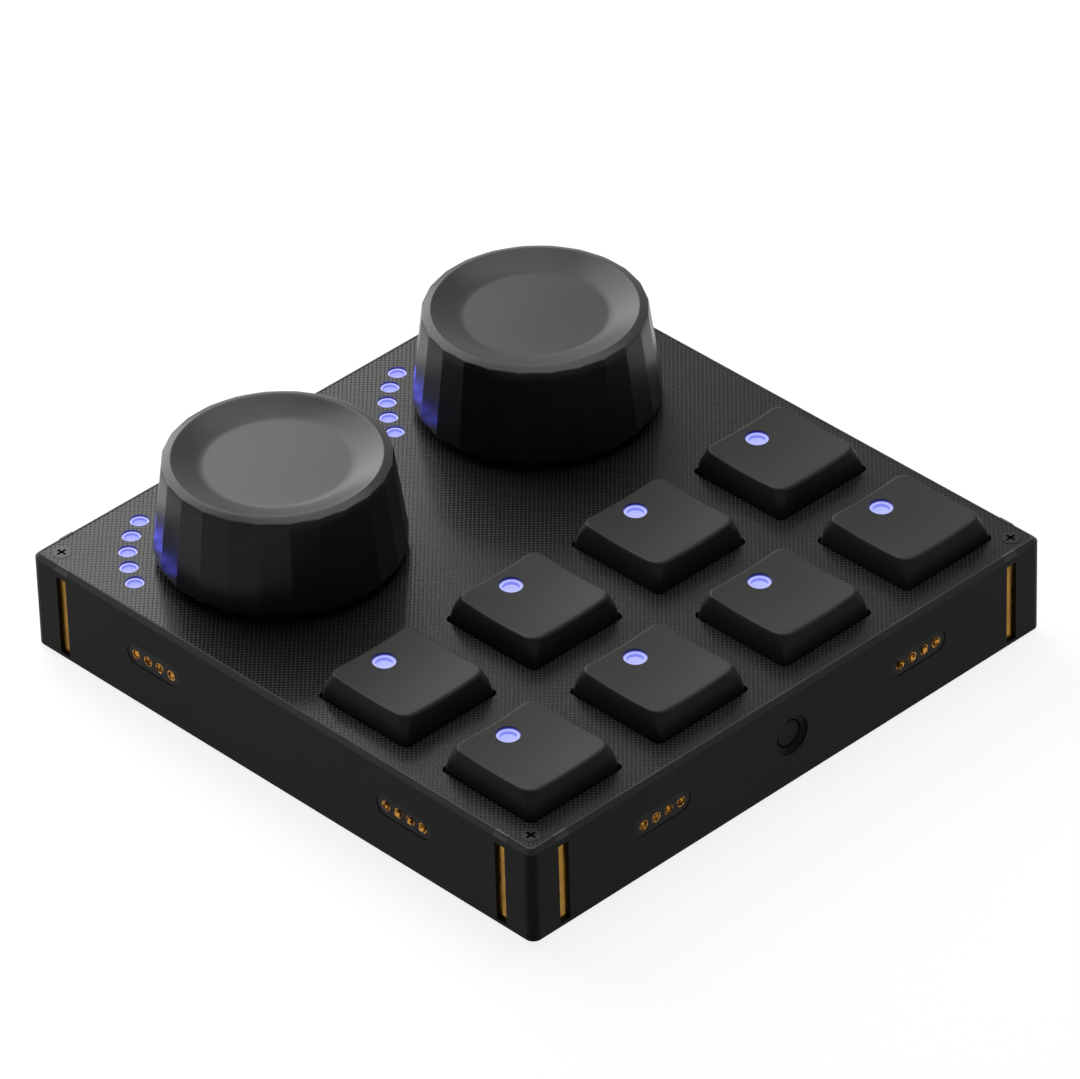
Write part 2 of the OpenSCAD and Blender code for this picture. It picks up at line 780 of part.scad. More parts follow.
// Half section of the knob, without the grip facets
module knob_section() {
    foot_r = knob_d / 2;
    top_r = knob_top_d / 2;
    hollow_r = top_r - knob_wall;
    difference() {
        polygon([[0, 0], [foot_r - knob_foot_r, 0], [foot_r, knob_foot_r],
            [top_r, knob_h - knob_rim_h], [top_r - knob_rim_w, knob_h], [0, knob_h]]);
        polygon([[0, -cut], [hollow_r, -cut], [hollow_r, knob_ceiling - knob_bottom],
            [0, knob_ceiling - knob_bottom]]);
        polygon([[0, knob_h - dish_depth], [dish_flat_d / 2, knob_h - dish_depth],
            [top_r - knob_rim_w, knob_h], [top_r - knob_rim_w, knob_h + cut],
            [0, knob_h + cut]]);
    }
    difference() {
        translate([foot_r - knob_foot_r, knob_foot_r]) circle(knob_foot_r);
        translate([hollow_r - 2 * knob_foot_r, -cut]) square([2 * knob_foot_r, 2 * cut + knob_h]);
    }
}

// Flat facets round the side: each slab lies on the chord between two corners
module knob_facet_cuts() {
    step = 360 / knob_facets;
    foot_a = knob_d / 2 * cos(step / 2);
    top_a = knob_top_d / 2 * cos(step / 2);
    rise = knob_h - knob_rim_h - knob_foot_r;
    lean = (foot_a - top_a) / rise;
    far = knob_d;
    for (k = [0 : knob_facets - 1]) rotate(k * step) rotate([90, 0, 0])
        linear_extrude(knob_d / 4, center = true)
            polygon([[foot_a + lean * (knob_foot_r + cut), -cut], [far, -cut],
                [far, knob_h + cut], [foot_a - lean * (knob_h + cut - knob_foot_r), knob_h + cut]]);
}

module knob(side) {
    color([0.10, 0.10, 0.10]) at_knob(side) difference() {
        union() {
            translate([0, 0, knob_bottom]) difference() {
                rotate_extrude($fn = 96) knob_section();
                knob_facet_cuts();
            }
            translate([0, 0, hub_bottom])
                cylinder(h = knob_ceiling - hub_bottom + fit, d = hub_d);
        }
        translate([0, 0, hub_bottom - cut]) difference() {
            cylinder(h = shaft_grip + slide + cut, d = shaft_d + fit);
            translate([shaft_flat + fit, -shaft_d, 0])
                cube([shaft_d, 2 * shaft_d, 2 * shaft_grip]);
        }
    }
}

module encoder_bodies() {
    color([0.62, 0.63, 0.65]) at_knobs() difference() {
        union() {
            post_box([encoder_w, encoder_w, encoder_h], board_top);
            translate([0, 0, board_top]) cylinder(h = encoder_h + bushing_h, d = bushing_d);
        }
        translate([0, 0, board_top + 1]) cylinder(h = encoder_h + bushing_h, d = shaft_d + 2 * run);
        translate([0, 0, chamber_z])
            cylinder(h = chamber_top - chamber_z, d = rotor_d + 4 * run);
    }
}

module encoder_shaft(side) {
    top = hub_bottom + shaft_grip;
    color([0.72, 0.72, 0.74]) at_knob(side) {
        translate([0, 0, rotor_z]) cylinder(h = rotor_t, d = rotor_d);
        difference() {
            translate([0, 0, rotor_z]) cylinder(h = top - rotor_z, d = shaft_d);
            translate([shaft_flat, -shaft_d, hub_bottom - slide])
                cube([shaft_d, 2 * shaft_d, shaft_grip + cut]);
        }
    }
}

module push_plunger(side) {
    color([0.25, 0.25, 0.27]) at_knob(side) translate([0, 0, push_plate_z])
        cylinder(h = push_plate_t, d = push_plate_d);
}

// ---- Side connectors and magnets ----

module connector_blocks() {
    color([0.11, 0.11, 0.11]) at_sides() difference() {
        for (x = [-1, 1]) translate([x * con_x, 0, con_z]) {
            y_oval(con_face_l, con_face_h, block_front, -inner_half);
            translate([-con_flange[0] / 2, -inner_half, -con_flange[2] / 2]) cube(con_flange);
        }
        for (side = [-1, 1]) at_pins(side)
            y_rod(barrel_d + fit, block_front - cut, block_back + cut);
    }
}

module pin_barrel() {
    y_rod(barrel_d, block_front, block_back);
    y_rod(tail_d, block_back - fit, block_back + tail_l);
}

// Hollow contacts, on the left of each side seen from outside
module socket_contacts() {
    color([0.72, 0.52, 0.22]) at_sides() at_pins(-1) difference() {
        pin_barrel();
        translate([0, block_front - plunger_d * 0.3, 0]) sphere(d = plunger_d * 1.3, $fn = 32);
    }
}

// Tubes of the spring plungers, on the right of each side
module plunger_barrels() {
    color([0.72, 0.52, 0.22]) at_sides() at_pins(1) difference() {
        pin_barrel();
        y_rod(plunger_d + 2 * run, block_front - cut, block_front + barrel_bore_l);
    }
}

module plungers(turn) {
    tip = -half - plunger_proud;
    color([0.80, 0.60, 0.28]) rotate(turn) at_pins(1) {
        y_rod(plunger_d, tip + plunger_d / 2, tip + plunger_l);
        translate([0, tip + plunger_d / 2, 0]) sphere(d = plunger_d, $fn = 32);
    }
}

module bar_magnets() {
    color([0.80, 0.60, 0.30]) at_sides() for (x = [-1, 1])
        translate([x * (half - magnet_offset), magnet_skin - half + magnet_d / 2, 0])
            post_box([magnet_w, magnet_d, magnet_l], magnet_z);
}

// ---- Front button and socket ----

module front_button() {
    color([0.10, 0.10, 0.10]) translate([0, 0, button_z]) {
        y_rod(button_d, button_front, -inner_half + slide);
        y_rod(button_flange[0], -inner_half + fit, -inner_half + fit + button_flange[1]);
        y_rod(button_stub_d, -inner_half + fit + button_flange[1], button_switch_y + button_stub_l);
    }
}

module button_switch() {
    color([0.35, 0.35, 0.37]) difference() {
        translate([-button_switch[0] / 2, button_switch_y, button_z - button_switch[2] / 2])
            cube(button_switch);
        translate([0, 0, button_z]) y_rod(button_stub_d + 2 * slide, button_switch_y - cut,
            button_switch_y + button_stub_l + button_travel + slide);
    }
}

module usb_socket() {
    back = half - usb_inset - usb_l;
    inner = [usb_w - 2 * usb_shell, usb_h - 2 * usb_shell];
    tongue = [usb_tongue[0], usb_l - usb_tongue_inset - usb_shell, usb_tongue[1]];
    color([0.70, 0.70, 0.72]) translate([0, 0, board_top + usb_h / 2]) {
        difference() {
            y_oval(usb_w, usb_h, back, back + usb_l);
            y_oval(inner[0], inner[1], back + usb_shell, back + usb_l + cut);
        }
        translate([-tongue[0] / 2, back + usb_shell - fit, -tongue[2] / 2]) cube(tongue);
    }
}

// ---- Nodes ----

case();
faceplate();
faceplate_screws();
main_board();
board_screws();
switch_bases();
switch_tops();
board_lights();
light_pipes();
encoder_bodies();
connector_blocks();
socket_contacts();
plunger_barrels();
bar_magnets();
rubber_feet();
usb_socket();
button_switch();
front_button();
for (i = [0 : 7]) if (is_key(i)) {
    keycap(i);
    key_window(i);
    key_stem(i);
    key_spring(i);
}
knob(-1);  // knob_left
knob(1);  // knob_right
encoder_shaft(-1);  // encoder_shaft_left
encoder_shaft(1);  // encoder_shaft_right
push_plunger(-1);  // push_plunger_left
push_plunger(1);  // push_plunger_right
plungers(0);  // plungers_front
plungers(90);  // plungers_right
plungers(180);  // plungers_back
plungers(270);  // plungers_left
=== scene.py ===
"""Looks of the square macro keypad module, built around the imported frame."""
import math

import bmesh
import bpy
from mathutils import Matrix, Quaternion, Vector


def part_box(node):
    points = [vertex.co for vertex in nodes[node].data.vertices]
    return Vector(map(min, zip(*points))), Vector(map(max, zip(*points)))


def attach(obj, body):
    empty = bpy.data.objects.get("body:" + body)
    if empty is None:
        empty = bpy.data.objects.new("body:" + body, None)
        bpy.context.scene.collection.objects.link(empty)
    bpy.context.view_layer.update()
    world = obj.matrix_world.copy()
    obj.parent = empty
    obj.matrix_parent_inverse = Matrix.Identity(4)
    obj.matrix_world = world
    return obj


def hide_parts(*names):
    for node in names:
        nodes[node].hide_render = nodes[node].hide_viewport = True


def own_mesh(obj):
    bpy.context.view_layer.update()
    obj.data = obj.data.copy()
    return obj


MM = 0.001
TAU = 2 * math.pi

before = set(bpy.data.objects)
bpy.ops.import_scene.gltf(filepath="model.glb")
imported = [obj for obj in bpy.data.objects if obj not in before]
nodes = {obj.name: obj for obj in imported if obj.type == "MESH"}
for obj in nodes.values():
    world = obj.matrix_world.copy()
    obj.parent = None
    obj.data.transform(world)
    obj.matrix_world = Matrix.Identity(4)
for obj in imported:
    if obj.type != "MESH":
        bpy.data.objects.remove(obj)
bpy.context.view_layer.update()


def middle(node):
    """Middle, lowest and highest corner of a CAD node, in mm."""
    low, high = (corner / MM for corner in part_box(node))
    return (low + high) / 2, low, high


# Sizes in mm that are shared by several pieces
PLATE_TOP = middle("faceplate")[2].z
KNOB_X, KNOB_Y = (abs(v) for v in middle("knob_right")[0].xy)
ARC_R = 23
KEYS = range(1, 9)

# Blacks that several materials share
CASE_BLACK = (0.0115, 0.0112, 0.0103)
PLAIN_BLACK = (0.018, 0.018, 0.0176)


# ---- Camera ----

def make_camera():
    """The photograph's view: long lens, from the front left corner and above.

    The bearing, height and roll, in degrees, the target and the distance were fitted to the
    edges of the case, the screws, the keys and the lights.
    """
    azimuth, elevation, roll = (math.radians(v) for v in (-43.439, 35.782, -1.791))
    target = Vector((16.603, 16.539, 0.9)) * MM
    distance = 1397.95 * MM
    back = Vector((math.sin(azimuth) * math.cos(elevation),
                   -math.cos(azimuth) * math.cos(elevation), math.sin(elevation)))
    right = Vector((math.cos(azimuth), math.sin(azimuth), 0))
    up = back.cross(right)
    side = right * math.cos(roll) + up * math.sin(roll)
    top = up * math.cos(roll) - right * math.sin(roll)
    data = bpy.data.cameras.new("camera")
    data.sensor_width = 36
    data.lens = 306.504
    data.clip_start, data.clip_end = 0.1, 20
    camera = bpy.data.objects.new("camera", data)
    camera.matrix_world = (Matrix.Translation(target + back * distance)
                           @ Matrix((side, top, back)).transposed().to_4x4())
    bpy.context.scene.collection.objects.link(camera)
    bpy.context.scene.camera = camera


make_camera()


# ---- Material helpers ----

class Shader:
    """A Principled material with short calls for the nodes round it."""

    def __init__(self, name, color, rough, specular=0.5, metallic=0.0):
        self.material = bpy.data.materials.new(name)
        self.material.use_nodes = True
        self.tree = self.material.node_tree
        self.bsdf = self.tree.nodes["Principled BSDF"]
        self.set("Base Color", (*color, 1))
        self.set("Roughness", rough)
        self.set("Specular IOR Level", specular)
        self.set("Metallic", metallic)

    def set(self, socket, value):
        self.bsdf.inputs[socket].default_value = value

    def node(self, kind, inputs=None, **props):
        """A new node, with its inputs linked or set."""
        made = self.tree.nodes.new(kind)
        for key, value in props.items():
            setattr(made, key, value)
        for key, value in (inputs or {}).items():
            if isinstance(value, bpy.types.NodeSocket):
                self.tree.links.new(value, made.inputs[key])
            else:
                made.inputs[key].default_value = value
        return made

    def link(self, source, socket):
        self.tree.links.new(source, self.bsdf.inputs[socket])

    def math(self, operation, a, b=0.0):
        """Result of a math node on one or two values."""
        return self.node("ShaderNodeMath", {0: a, 1: b}, operation=operation).outputs[0]

    def away(self, value, centre):
        """Distance of a value from a centre, to either side."""
        return self.math("ABSOLUTE", self.math("SUBTRACT", value, centre))

    def length(self, a, b):
        """Length of the diagonal over two sides."""
        squares = [self.math("POWER", side, 2) for side in (a, b)]
        return self.math("SQRT", self.math("ADD", *squares))

    def place(self):
        """Place in the shared frame, in metres."""
        return self.node("ShaderNodeTexCoord").outputs["Object"]

    def normal(self):
        return self.node("ShaderNodeTexCoord").outputs["Normal"]

    def split(self, vector):
        return self.node("ShaderNodeSeparateXYZ", {0: vector}).outputs

    def noise(self, scale, detail):
        """Soft noise from 0 to 1, with `scale` waves to the metre."""
        return self.node("ShaderNodeTexNoise", {
            "Vector": self.place(), "Scale": scale, "Detail": detail}).outputs["Fac"]

    def ramp(self, value, low, high, out_low=0.0, out_high=1.0, smooth=False):
        """Goes from one output to the other while the value goes from low to high."""
        made = self.node("ShaderNodeMapRange", {
            "Value": value, "From Min": low, "From Max": high,
            "To Min": out_low, "To Max": out_high})
        made.interpolation_type = "SMOOTHSTEP" if smooth else "LINEAR"
        return made.outputs["Result"]

    def mix(self, factor, a, b):
        """Colour a where the factor is 0 and colour b where it is 1."""
        made = self.node("ShaderNodeMix", {"Factor": factor}, data_type="RGBA")
        for key, value in (("A", a), ("B", b)):
            socket = [s for s in made.inputs if s.name == key and s.type == "RGBA"][0]
            if isinstance(value, bpy.types.NodeSocket):
                self.tree.links.new(value, socket)
            else:
                socket.default_value = (*value, 1)
        return [s for s in made.outputs if s.type == "RGBA"][0]

    def bump(self, height, distance, after=None):
        """A normal from heights, on top of another one where that is given."""
        inputs = {"Height": height, "Distance": distance, "Strength": 1.0}
        if after is not None:
            inputs["Normal"] = after
        return self.node("ShaderNodeBump", inputs).outputs["Normal"]


def moulded(name, color, rough, specular, grain=2500, depth=0.004):
    """Moulded plastic: fine pitted grain, slightly uneven gloss and colour."""
    s = Shader(name, color, rough, specular)
    fine = s.noise(grain, 2)
    cloud = s.noise(60, 3)
    s.link(s.bump(fine, depth * MM), "Normal")
    s.link(s.ramp(cloud, 0.2, 0.8, rough - 0.02, rough + 0.02, smooth=True), "Roughness")
    pale = tuple(min(1, c * 1.25) for c in color)
    s.link(s.mix(s.ramp(cloud, 0.2, 0.8, smooth=True), color, pale), "Base Color")
    return s.material


def metal(name, color, rough, wavy=False):
    """Plated metal with faint polishing marks, and a waviness that breaks up its reflections."""
    s = Shader(name, color, rough, metallic=1.0)
    normal = s.bump(s.noise(900, 3), 0.002 * MM)
    if wavy:
        normal = s.bump(s.noise(300, 1), 0.06 * MM, after=normal)
    s.link(normal, "Normal")
    s.link(s.ramp(s.noise(220, 3), 0.35, 0.65, rough * 0.7, rough * 1.4), "Roughness")
    dark = tuple(c * 0.8 for c in color)
    s.link(s.mix(s.ramp(s.noise(400, 2), 0.35, 0.65), dark, color), "Base Color")
    return s.material


def dress(material, *names):
    """Gives CAD nodes a material."""
    for name in names:
        slots = nodes[name].data.materials
        slots.clear()
        slots.append(material)


def knob_axis_distance(s):
    """Distance from the nearer knob's axis, in metres, as a shader value."""
    x, y, _ = s.split(s.place())
    across = s.math("SUBTRACT", s.math("ABSOLUTE", x), KNOB_X * MM)
    along = s.math("SUBTRACT", y, KNOB_Y * MM)
    return s.length(across, along)


def hatch_material():
    """Black board surface with narrow grooves across its diagonals.

    The light guides' blue light is painted as a glow on the walls of the slots round them.
    A groove's half width and its soft edge are shares of the pitch.
    """
    pitch, groove, soft = 0.635 * MM, 0.125, 0.05
    slot_reach, slot_glow_blue = 1.7 * MM, (0.03, 0.03, 0.26)
    dark, pale = (0.005, 0.005, 0.0048), (0.007, 0.007, 0.0067)
    s = Shader("faceplate_hatch", pale, 0.17, 0.125)
    x, y, _ = s.split(s.place())
    grooves = []
    for across in ("ADD", "SUBTRACT"):
        turns = s.math("MULTIPLY", s.math(across, x, y), 1 / (math.sqrt(2) * pitch))
        distance = s.math("PINGPONG", turns, 0.5)
        grooves.append(s.ramp(distance, groove - soft, groove + soft, 1, 0, smooth=True))
    mesh = s.math("MAXIMUM", *grooves)
    cell = s.mix(s.ramp(s.noise(90, 3), 0.3, 0.7), dark, pale)
    s.link(s.mix(mesh, cell, pale), "Base Color")
    s.link(s.ramp(mesh, 0, 1, 0.17, 0.5), "Roughness")
    height = s.math("SUBTRACT", 1.0, mesh)
    s.link(s.bump(height, 0.005 * MM, after=s.bump(s.noise(4000, 2), 0.002 * MM)), "Normal")
    # Painted light: the guides' blue glow, as emission on the upright slot walls near the arcs.
    upright = s.ramp(s.math("ABSOLUTE", s.split(s.normal())[2]), 0.3, 0.6, 1, 0)
    off_arc = s.away(knob_axis_distance(s), ARC_R * MM)
    lit = s.math("MULTIPLY", upright, s.math("LESS_THAN", off_arc, slot_reach))
    s.set("Emission Color", (*slot_glow_blue, 1))
    s.link(lit, "Emission Strength")
    return s.material


def glow_material(name, node, cup, floor_color, rim_color):
    """Lit cup of clear plastic, `cup` mm deep: pale rim and floor, and a blue wall."""
    wall_foot, wall_top = (0.14, 0.15, 0.75), (0.24, 0.26, 0.85)
    floor = (middle(node)[2].z - cup) * MM
    s = Shader(name, (0.02, 0.02, 0.06), 0.3, 0.1)
    z = s.split(s.place())[2]
    upward = s.ramp(s.split(s.normal())[2], 0.3, 0.8)
    wall = s.mix(s.ramp(z, floor, floor + 0.25 * MM), wall_foot, wall_top)
    level = s.mix(s.ramp(z, floor + 0.1 * MM, floor + 0.2 * MM), floor_color, rim_color)
    s.link(s.mix(upward, wall, level), "Emission Color")
    s.set("Emission Strength", 1.0)
    return s.material


def case_material():
    """Black plastic of the case, with painted highlights along its upper edge and on the pads over
    the magnets.
    """
    edge_highlight, pad_highlight = (0.042, 0.0416, 0.04), (0.075, 0.074, 0.072)
    highlight_h, soft, magnet_off, pad_half = 0.6, 0.15, 46.75, 1.3
    s = Shader("case_plastic", CASE_BLACK, 0.4, 0.055)
    x, y, z = s.split(s.place())
    # Painted highlight: a paler band along the chamfer at the case's upper edge.
    edge = s.ramp(z, (PLATE_TOP - highlight_h - soft) * MM, (PLATE_TOP - highlight_h) * MM)
    # Painted highlight: paler still on the rim's upper edge over each magnet.
    beside = []
    for across in (x, y):
        off_magnet = s.away(s.math("ABSOLUTE", across), magnet_off * MM)
        beside.append(s.math("LESS_THAN", off_magnet, pad_half * MM))
    pad_highlight_mask = s.math("MULTIPLY", edge, s.math("MAXIMUM", *beside))
    s.link(s.mix(pad_highlight_mask, s.mix(edge, CASE_BLACK, edge_highlight), pad_highlight), "Base Color")
    s.link(s.ramp(s.noise(60, 3), 0.2, 0.8, 0.38, 0.43, smooth=True), "Roughness")
    s.link(s.bump(s.noise(2500, 2), 0.004 * MM), "Normal")
    return s.material


def pin_material():
    """Gold plate, with painted shade in the ring between each pin and its barrel and at its outer
    edge.

    The distances are in mm, from the axis of the nearest pin.
    """
    dull, bright, shade = (0.06, 0.022, 0.002), (0.52, 0.25, 0.04), (0.02, 0.009, 0.003)
    ring_in, ring_out, edge_r, soft = 0.5, 0.72, 0.8, 0.08
    row, pitch = middle("plungers_front")[0], 2.54
    s = Shader("gold_plate", bright, 0.24, metallic=1.0)
    x, y, z = (s.math("MULTIPLY", v, 1 / MM) for v in s.split(s.place()))
    on_front = s.math("GREATER_THAN", s.math("ABSOLUTE", y), s.math("ABSOLUTE", x))
    along = s.math("ADD", s.math("MULTIPLY", x, on_front),
                   s.math("MULTIPLY", y, s.math("SUBTRACT", 1.0, on_front)))
    turns = s.math("DIVIDE", s.math("SUBTRACT", s.math("ABSOLUTE", along), row.x), pitch)
    off = s.math("MULTIPLY", s.math("PINGPONG", s.math("ADD", turns, 0.5), 0.5), pitch)
    radius = s.length(off, s.math("SUBTRACT", z, row.z))
    # Painted shade: the gap ring round each pin and the outer edge take the shade colour.
    ring = s.math("MULTIPLY", s.ramp(radius, ring_in, ring_in + soft),
                  s.ramp(radius, ring_out - soft, ring_out, 1, 0))
    dark = s.math("MAXIMUM", ring, s.ramp(radius, edge_r, edge_r + soft))
    gold = s.mix(s.ramp(s.noise(1500, 2), 0.44, 0.58), dull, bright)
    s.link(s.mix(dark, gold, shade), "Base Color")
    s.link(s.bump(s.noise(1100, 2), 0.02 * MM), "Normal")
    return s.material


def board_material():
    """Green solder mask over copper: traces and vias as a slightly raised pattern."""
    s = Shader("board_mask", (0.01, 0.05, 0.025), 0.3, 0.5)
    cells = s.node("ShaderNodeTexVoronoi", {"Vector": s.place(), "Scale": 180.0},
                   feature="DISTANCE_TO_EDGE", distance="MINKOWSKI").outputs["Distance"]
    traces = s.ramp(cells, 0.03, 0.05, 1, 0)
    s.link(s.mix(traces, (0.008, 0.045, 0.022), (0.02, 0.1, 0.045)), "Base Color")
    s.link(s.bump(traces, 0.03 * MM), "Normal")
    return s.material


def shade_button_bore():
    """Painted shade: deep black with no gloss on the case's faces in the narrow gap round the front
    button.
    """
    bore_reach = 2.4
    button = middle("front_button")[0]
    mesh = nodes["case"].data
    mesh.materials.append(moulded("case_gap_shade", (0.003, 0.003, 0.003), 0.8, 0.0))
    for face in mesh.polygons:
        place = face.center / MM - button
        if math.hypot(place.x, place.z) < bore_reach and place.y < 0:
            face.material_index = 1


def button_material():
    """Black plastic of the front button, the same as the case's but without its painted highlights.
    """
    s = Shader("button_black", CASE_BLACK, 0.4, 0.055)
    s.link(s.bump(s.noise(2500, 2), 0.004 * MM), "Normal")
    return s.material


def make_materials():
    """Dresses the CAD nodes that stay as they are."""
    dress(case_material(), "case")
    shade_button_bore()
    dress(hatch_material(), "faceplate")
    dress(moulded("screw_black", (0.01, 0.01, 0.0097), 0.3, 0.14), "faceplate_screws")
    dress(board_material(), "main_board")
    dress(metal("zinc", (0.6, 0.6, 0.62), 0.3), "board_screws", "usb_socket")
    dress(moulded("switch_black", PLAIN_BLACK, 0.4, 0.3), "switch_bases")
    dress(moulded("switch_smoke", (0.16, 0.17, 0.2), 0.25, 0.5), "switch_tops")
    dress(moulded("emitter_body", (0.75, 0.76, 0.7), 0.35, 0.5), "board_lights")
    dress(metal("encoder_metal", (0.6, 0.61, 0.63), 0.34),
          "encoder_bodies", "encoder_shaft_left", "encoder_shaft_right")
    dress(moulded("block_plastic", (0.018, 0.018, 0.0178), 0.4, 0.08), "connector_blocks")
    dress(pin_material(), "socket_contacts", "plunger_barrels",
          *(f"plungers_{side}" for side in ("front", "right", "back", "left")))
    dress(metal("magnet_plate", (0.34, 0.175, 0.026), 0.25, wavy=True), "bar_magnets")
    dress(moulded("rubber", PLAIN_BLACK, 0.8, 0.2, grain=1500, depth=0.01), "rubber_feet")
    dress(moulded("switch_grey", (0.1, 0.1, 0.105), 0.5, 0.3), "button_switch",
          "push_plunger_left", "push_plunger_right")
    dress(button_material(), "front_button")
    stem = moulded("stem_orange", (0.62, 0.2, 0.1), 0.4, 0.4)
    window = glow_material("key_window_glow", "key_window_1", 0.55,
                           (0.45, 0.48, 0.98), (0.48, 0.51, 0.95))
    for i in KEYS:
        dress(stem, f"key_stem_{i}")
        dress(window, f"key_window_{i}")
    dress(glow_material("arc_glow", "light_pipes", 0.45, (0.38, 0.41, 0.98), (0.62, 0.64, 1.0)),
          "light_pipes")


make_materials()


# ---- Mesh helpers ----

def add_piece(name, verts, faces, material, smooth_below=32):
    """A mesh object from points in mm, with outward normals and smooth shading."""
    mesh = bpy.data.meshes.new(name)
    mesh.from_pydata([Vector(v) * MM for v in verts], [], faces)
    built = bmesh.new()
    built.from_mesh(mesh)
    bmesh.ops.remove_doubles(built, verts=built.verts, dist=1e-7)
    bmesh.ops.recalc_face_normals(built, faces=built.faces)
    built.to_mesh(mesh)
    built.free()
    for face in mesh.polygons:
        face.use_smooth = True
    mesh.materials.append(material)
    mesh.set_sharp_from_angle(angle=math.radians(smooth_below))
    piece = bpy.data.objects.new(name, mesh)
    bpy.context.scene.collection.objects.link(piece)
    return piece


def rings_to_faces(count, size):
    """Quads between neighbouring rings of `size` points."""
    faces = []
    for k in range(count - 1):
        for s in range(size):
            n = (s + 1) % size
            faces.append((k * size + s, k * size + n, (k + 1) * size + n, (k + 1) * size + s))
    return faces


def box_faces(verts, faces, centre, size, z0, z1):
    """Adds a closed box to the lists."""
    n = len(verts)
    for z in (z0, z1):
        for x, y in ((-1, -1), (1, -1), (1, 1), (-1, 1)):
            verts.append((centre[0] + x * size[0] / 2, centre[1] + y * size[1] / 2, z))
    faces += [(n, n + 3, n + 2, n + 1), (n + 4, n + 5, n + 6, n + 7)]
    faces += [(n + k, n + (k + 1) % 4, n + 4 + (k + 1) % 4, n + 4 + k) for k in range(4)]


def soft_min(a, b, blend):
    """The smaller of two lengths, rounded over where they cross."""
    h = max(0.0, min(1.0, 0.5 + (b - a) / (2 * blend)))
    return b + (a - b) * h - blend * h * (1 - h)


# ---- Knobs ----

# Radii of the dish's flat disc, of the lip round it and of the rim's edge at the facets' corners
FACETS = 24
FACET_HALF = math.pi / FACETS
DISC_R, LIP_R, EDGE_R = 11.6, 15.85, 17.3
DISH_DEPTH, RIM_DROP, ROOF_WALL = 1.45, 0.55, 2.2
FOOT_ROUND, EDGE_ROUND, FACET_ROUND = 1.2, 0.13, 0.02


def knob_places():
    """Angles round the knob, each with its offset from the middle of its facet.

    The stops are shares of a facet's half width, close together at its edges.
    """
    stops = (0, 0.4, 0.76, 0.88, 0.94, 0.98)
    places = []
    for k in range(FACETS):
        for stop in (*(-s for s in stops[:0:-1]), *stops, 1):
            places.append(((2 * k + stop) * FACET_HALF, stop * FACET_HALF))
    return places


def knob_top(height):
    """Half section of the flat disc and the hollow slope round it, out to the lip.

    `soft` is the share of the slope's width over which the crease is rounded, to each side, and
    `straight` the share of the slope's rise that is straight.
    """
    floor = height - DISH_DEPTH
    soft, soft_steps, straight = 0.2, 5, 0.75
    points = [(0, floor), (DISC_R * 0.6, floor)]
    for k in range(-soft_steps, round(soft_steps / soft) - 1):
        t = k * soft / soft_steps
        line = t if t > soft else (t + soft) ** 2 / (4 * soft)
        rise = straight * line + (1 - straight) * max(t, 0) ** 2
        points.append((DISC_R + (LIP_R - DISC_R) * t, floor + DISH_DEPTH * rise))
    return points + [(LIP_R, height - 0.015)]


def knob_inside(ceiling):
    """Half section of the hollow, the hub and its bore, inwards and up."""
    wall_r, hub_r, bore_r, hub_z, bore_top = 15.1, 5.5, 3.025, 4.955, 12.055
    soft = 0.25
    return [(wall_r + soft, 0), (wall_r, soft), (wall_r, ceiling - soft),
            (wall_r - soft, ceiling), (hub_r + soft, ceiling), (hub_r, ceiling - soft),
            (hub_r, hub_z + soft), (hub_r - soft, hub_z), (bore_r + soft, hub_z),
            (bore_r, hub_z + soft), (bore_r, bore_top), (0, bore_top)]


def make_knob(side, material):
    """Round cup with 24 flat grip facets, a sloping rim and a dish with a flat middle."""
    node = f"knob_{side}"
    centre, low, high = middle(node)
    height = high.z - low.z
    foot_flat = (high.x - low.x) / 2
    edge_flat = EDGE_R * math.cos(FACET_HALF)
    lean = (foot_flat - edge_flat) / (height - RIM_DROP - FOOT_ROUND)
    slope = RIM_DROP / (EDGE_R - LIP_R)
    rim_flat = foot_flat - lean * (height + LIP_R * slope - FOOT_ROUND)
    places = knob_places()

    def side_point(off, z):
        """Point of the facetted side, with the edges between the facets slightly rounded."""
        flat = foot_flat - lean * (z - FOOT_ROUND)
        return soft_min(flat / math.cos(FACET_HALF), flat / math.cos(off), FACET_ROUND), z

    def rim_point(off, share, back=0.0):
        """Point of the sloping rim, from the lip to where the facet cuts it."""
        edge = rim_flat / (math.cos(off) - lean * slope)
        r = LIP_R + (edge - back - LIP_R) * share
        return r, height - slope * (r - LIP_R)

    rings = [[point] * len(places) for point in knob_top(height)]
    rings += [[rim_point(off, share, EDGE_ROUND) for _, off in places]
              for share in (0.04, 0.5, 0.9, 1)]
    shoulder = []
    sides = {share: [] for share in (0, 0.1, 0.4, 0.7, 1)}
    for _, off in places:
        corner = rim_point(off, 1)
        inner = rim_point(off, 1, EDGE_ROUND)
        outer = side_point(off, corner[1] - EDGE_ROUND)
        shoulder.append(tuple(c / 2 + (i + o) / 4 for c, i, o in zip(corner, inner, outer)))
        for share, ring in sides.items():
            ring.append(side_point(off, outer[1] + (FOOT_ROUND - outer[1]) * share))
    rings += [shoulder, *sides.values()]
    for k in range(1, 7):
        a = math.pi / 2 * k / 6
        rings.append([(side_point(off, FOOT_ROUND)[0] - FOOT_ROUND * (1 - math.cos(a)),
                       FOOT_ROUND * (1 - math.sin(a))) for _, off in places])
    ceiling = height - DISH_DEPTH - ROOF_WALL
    rings += [[point] * len(places) for point in knob_inside(ceiling)]
    verts = [(centre.x + r * math.cos(angle), centre.y + r * math.sin(angle), low.z + z)
             for ring in rings for (angle, _), (r, z) in zip(places, ring)]
    faces = rings_to_faces(len(rings), len(places))
    piece = add_piece(node + "_shell", verts, faces, material)
    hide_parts(node)
    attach(piece, f"turn_{side}")


knob_black = moulded("knob_satin", (0.021, 0.021, 0.0205), 0.3, 0.14, grain=3000, depth=0.003)
for knob_side in ("left", "right"):
    make_knob(knob_side, knob_black)


# ---- Keycaps ----

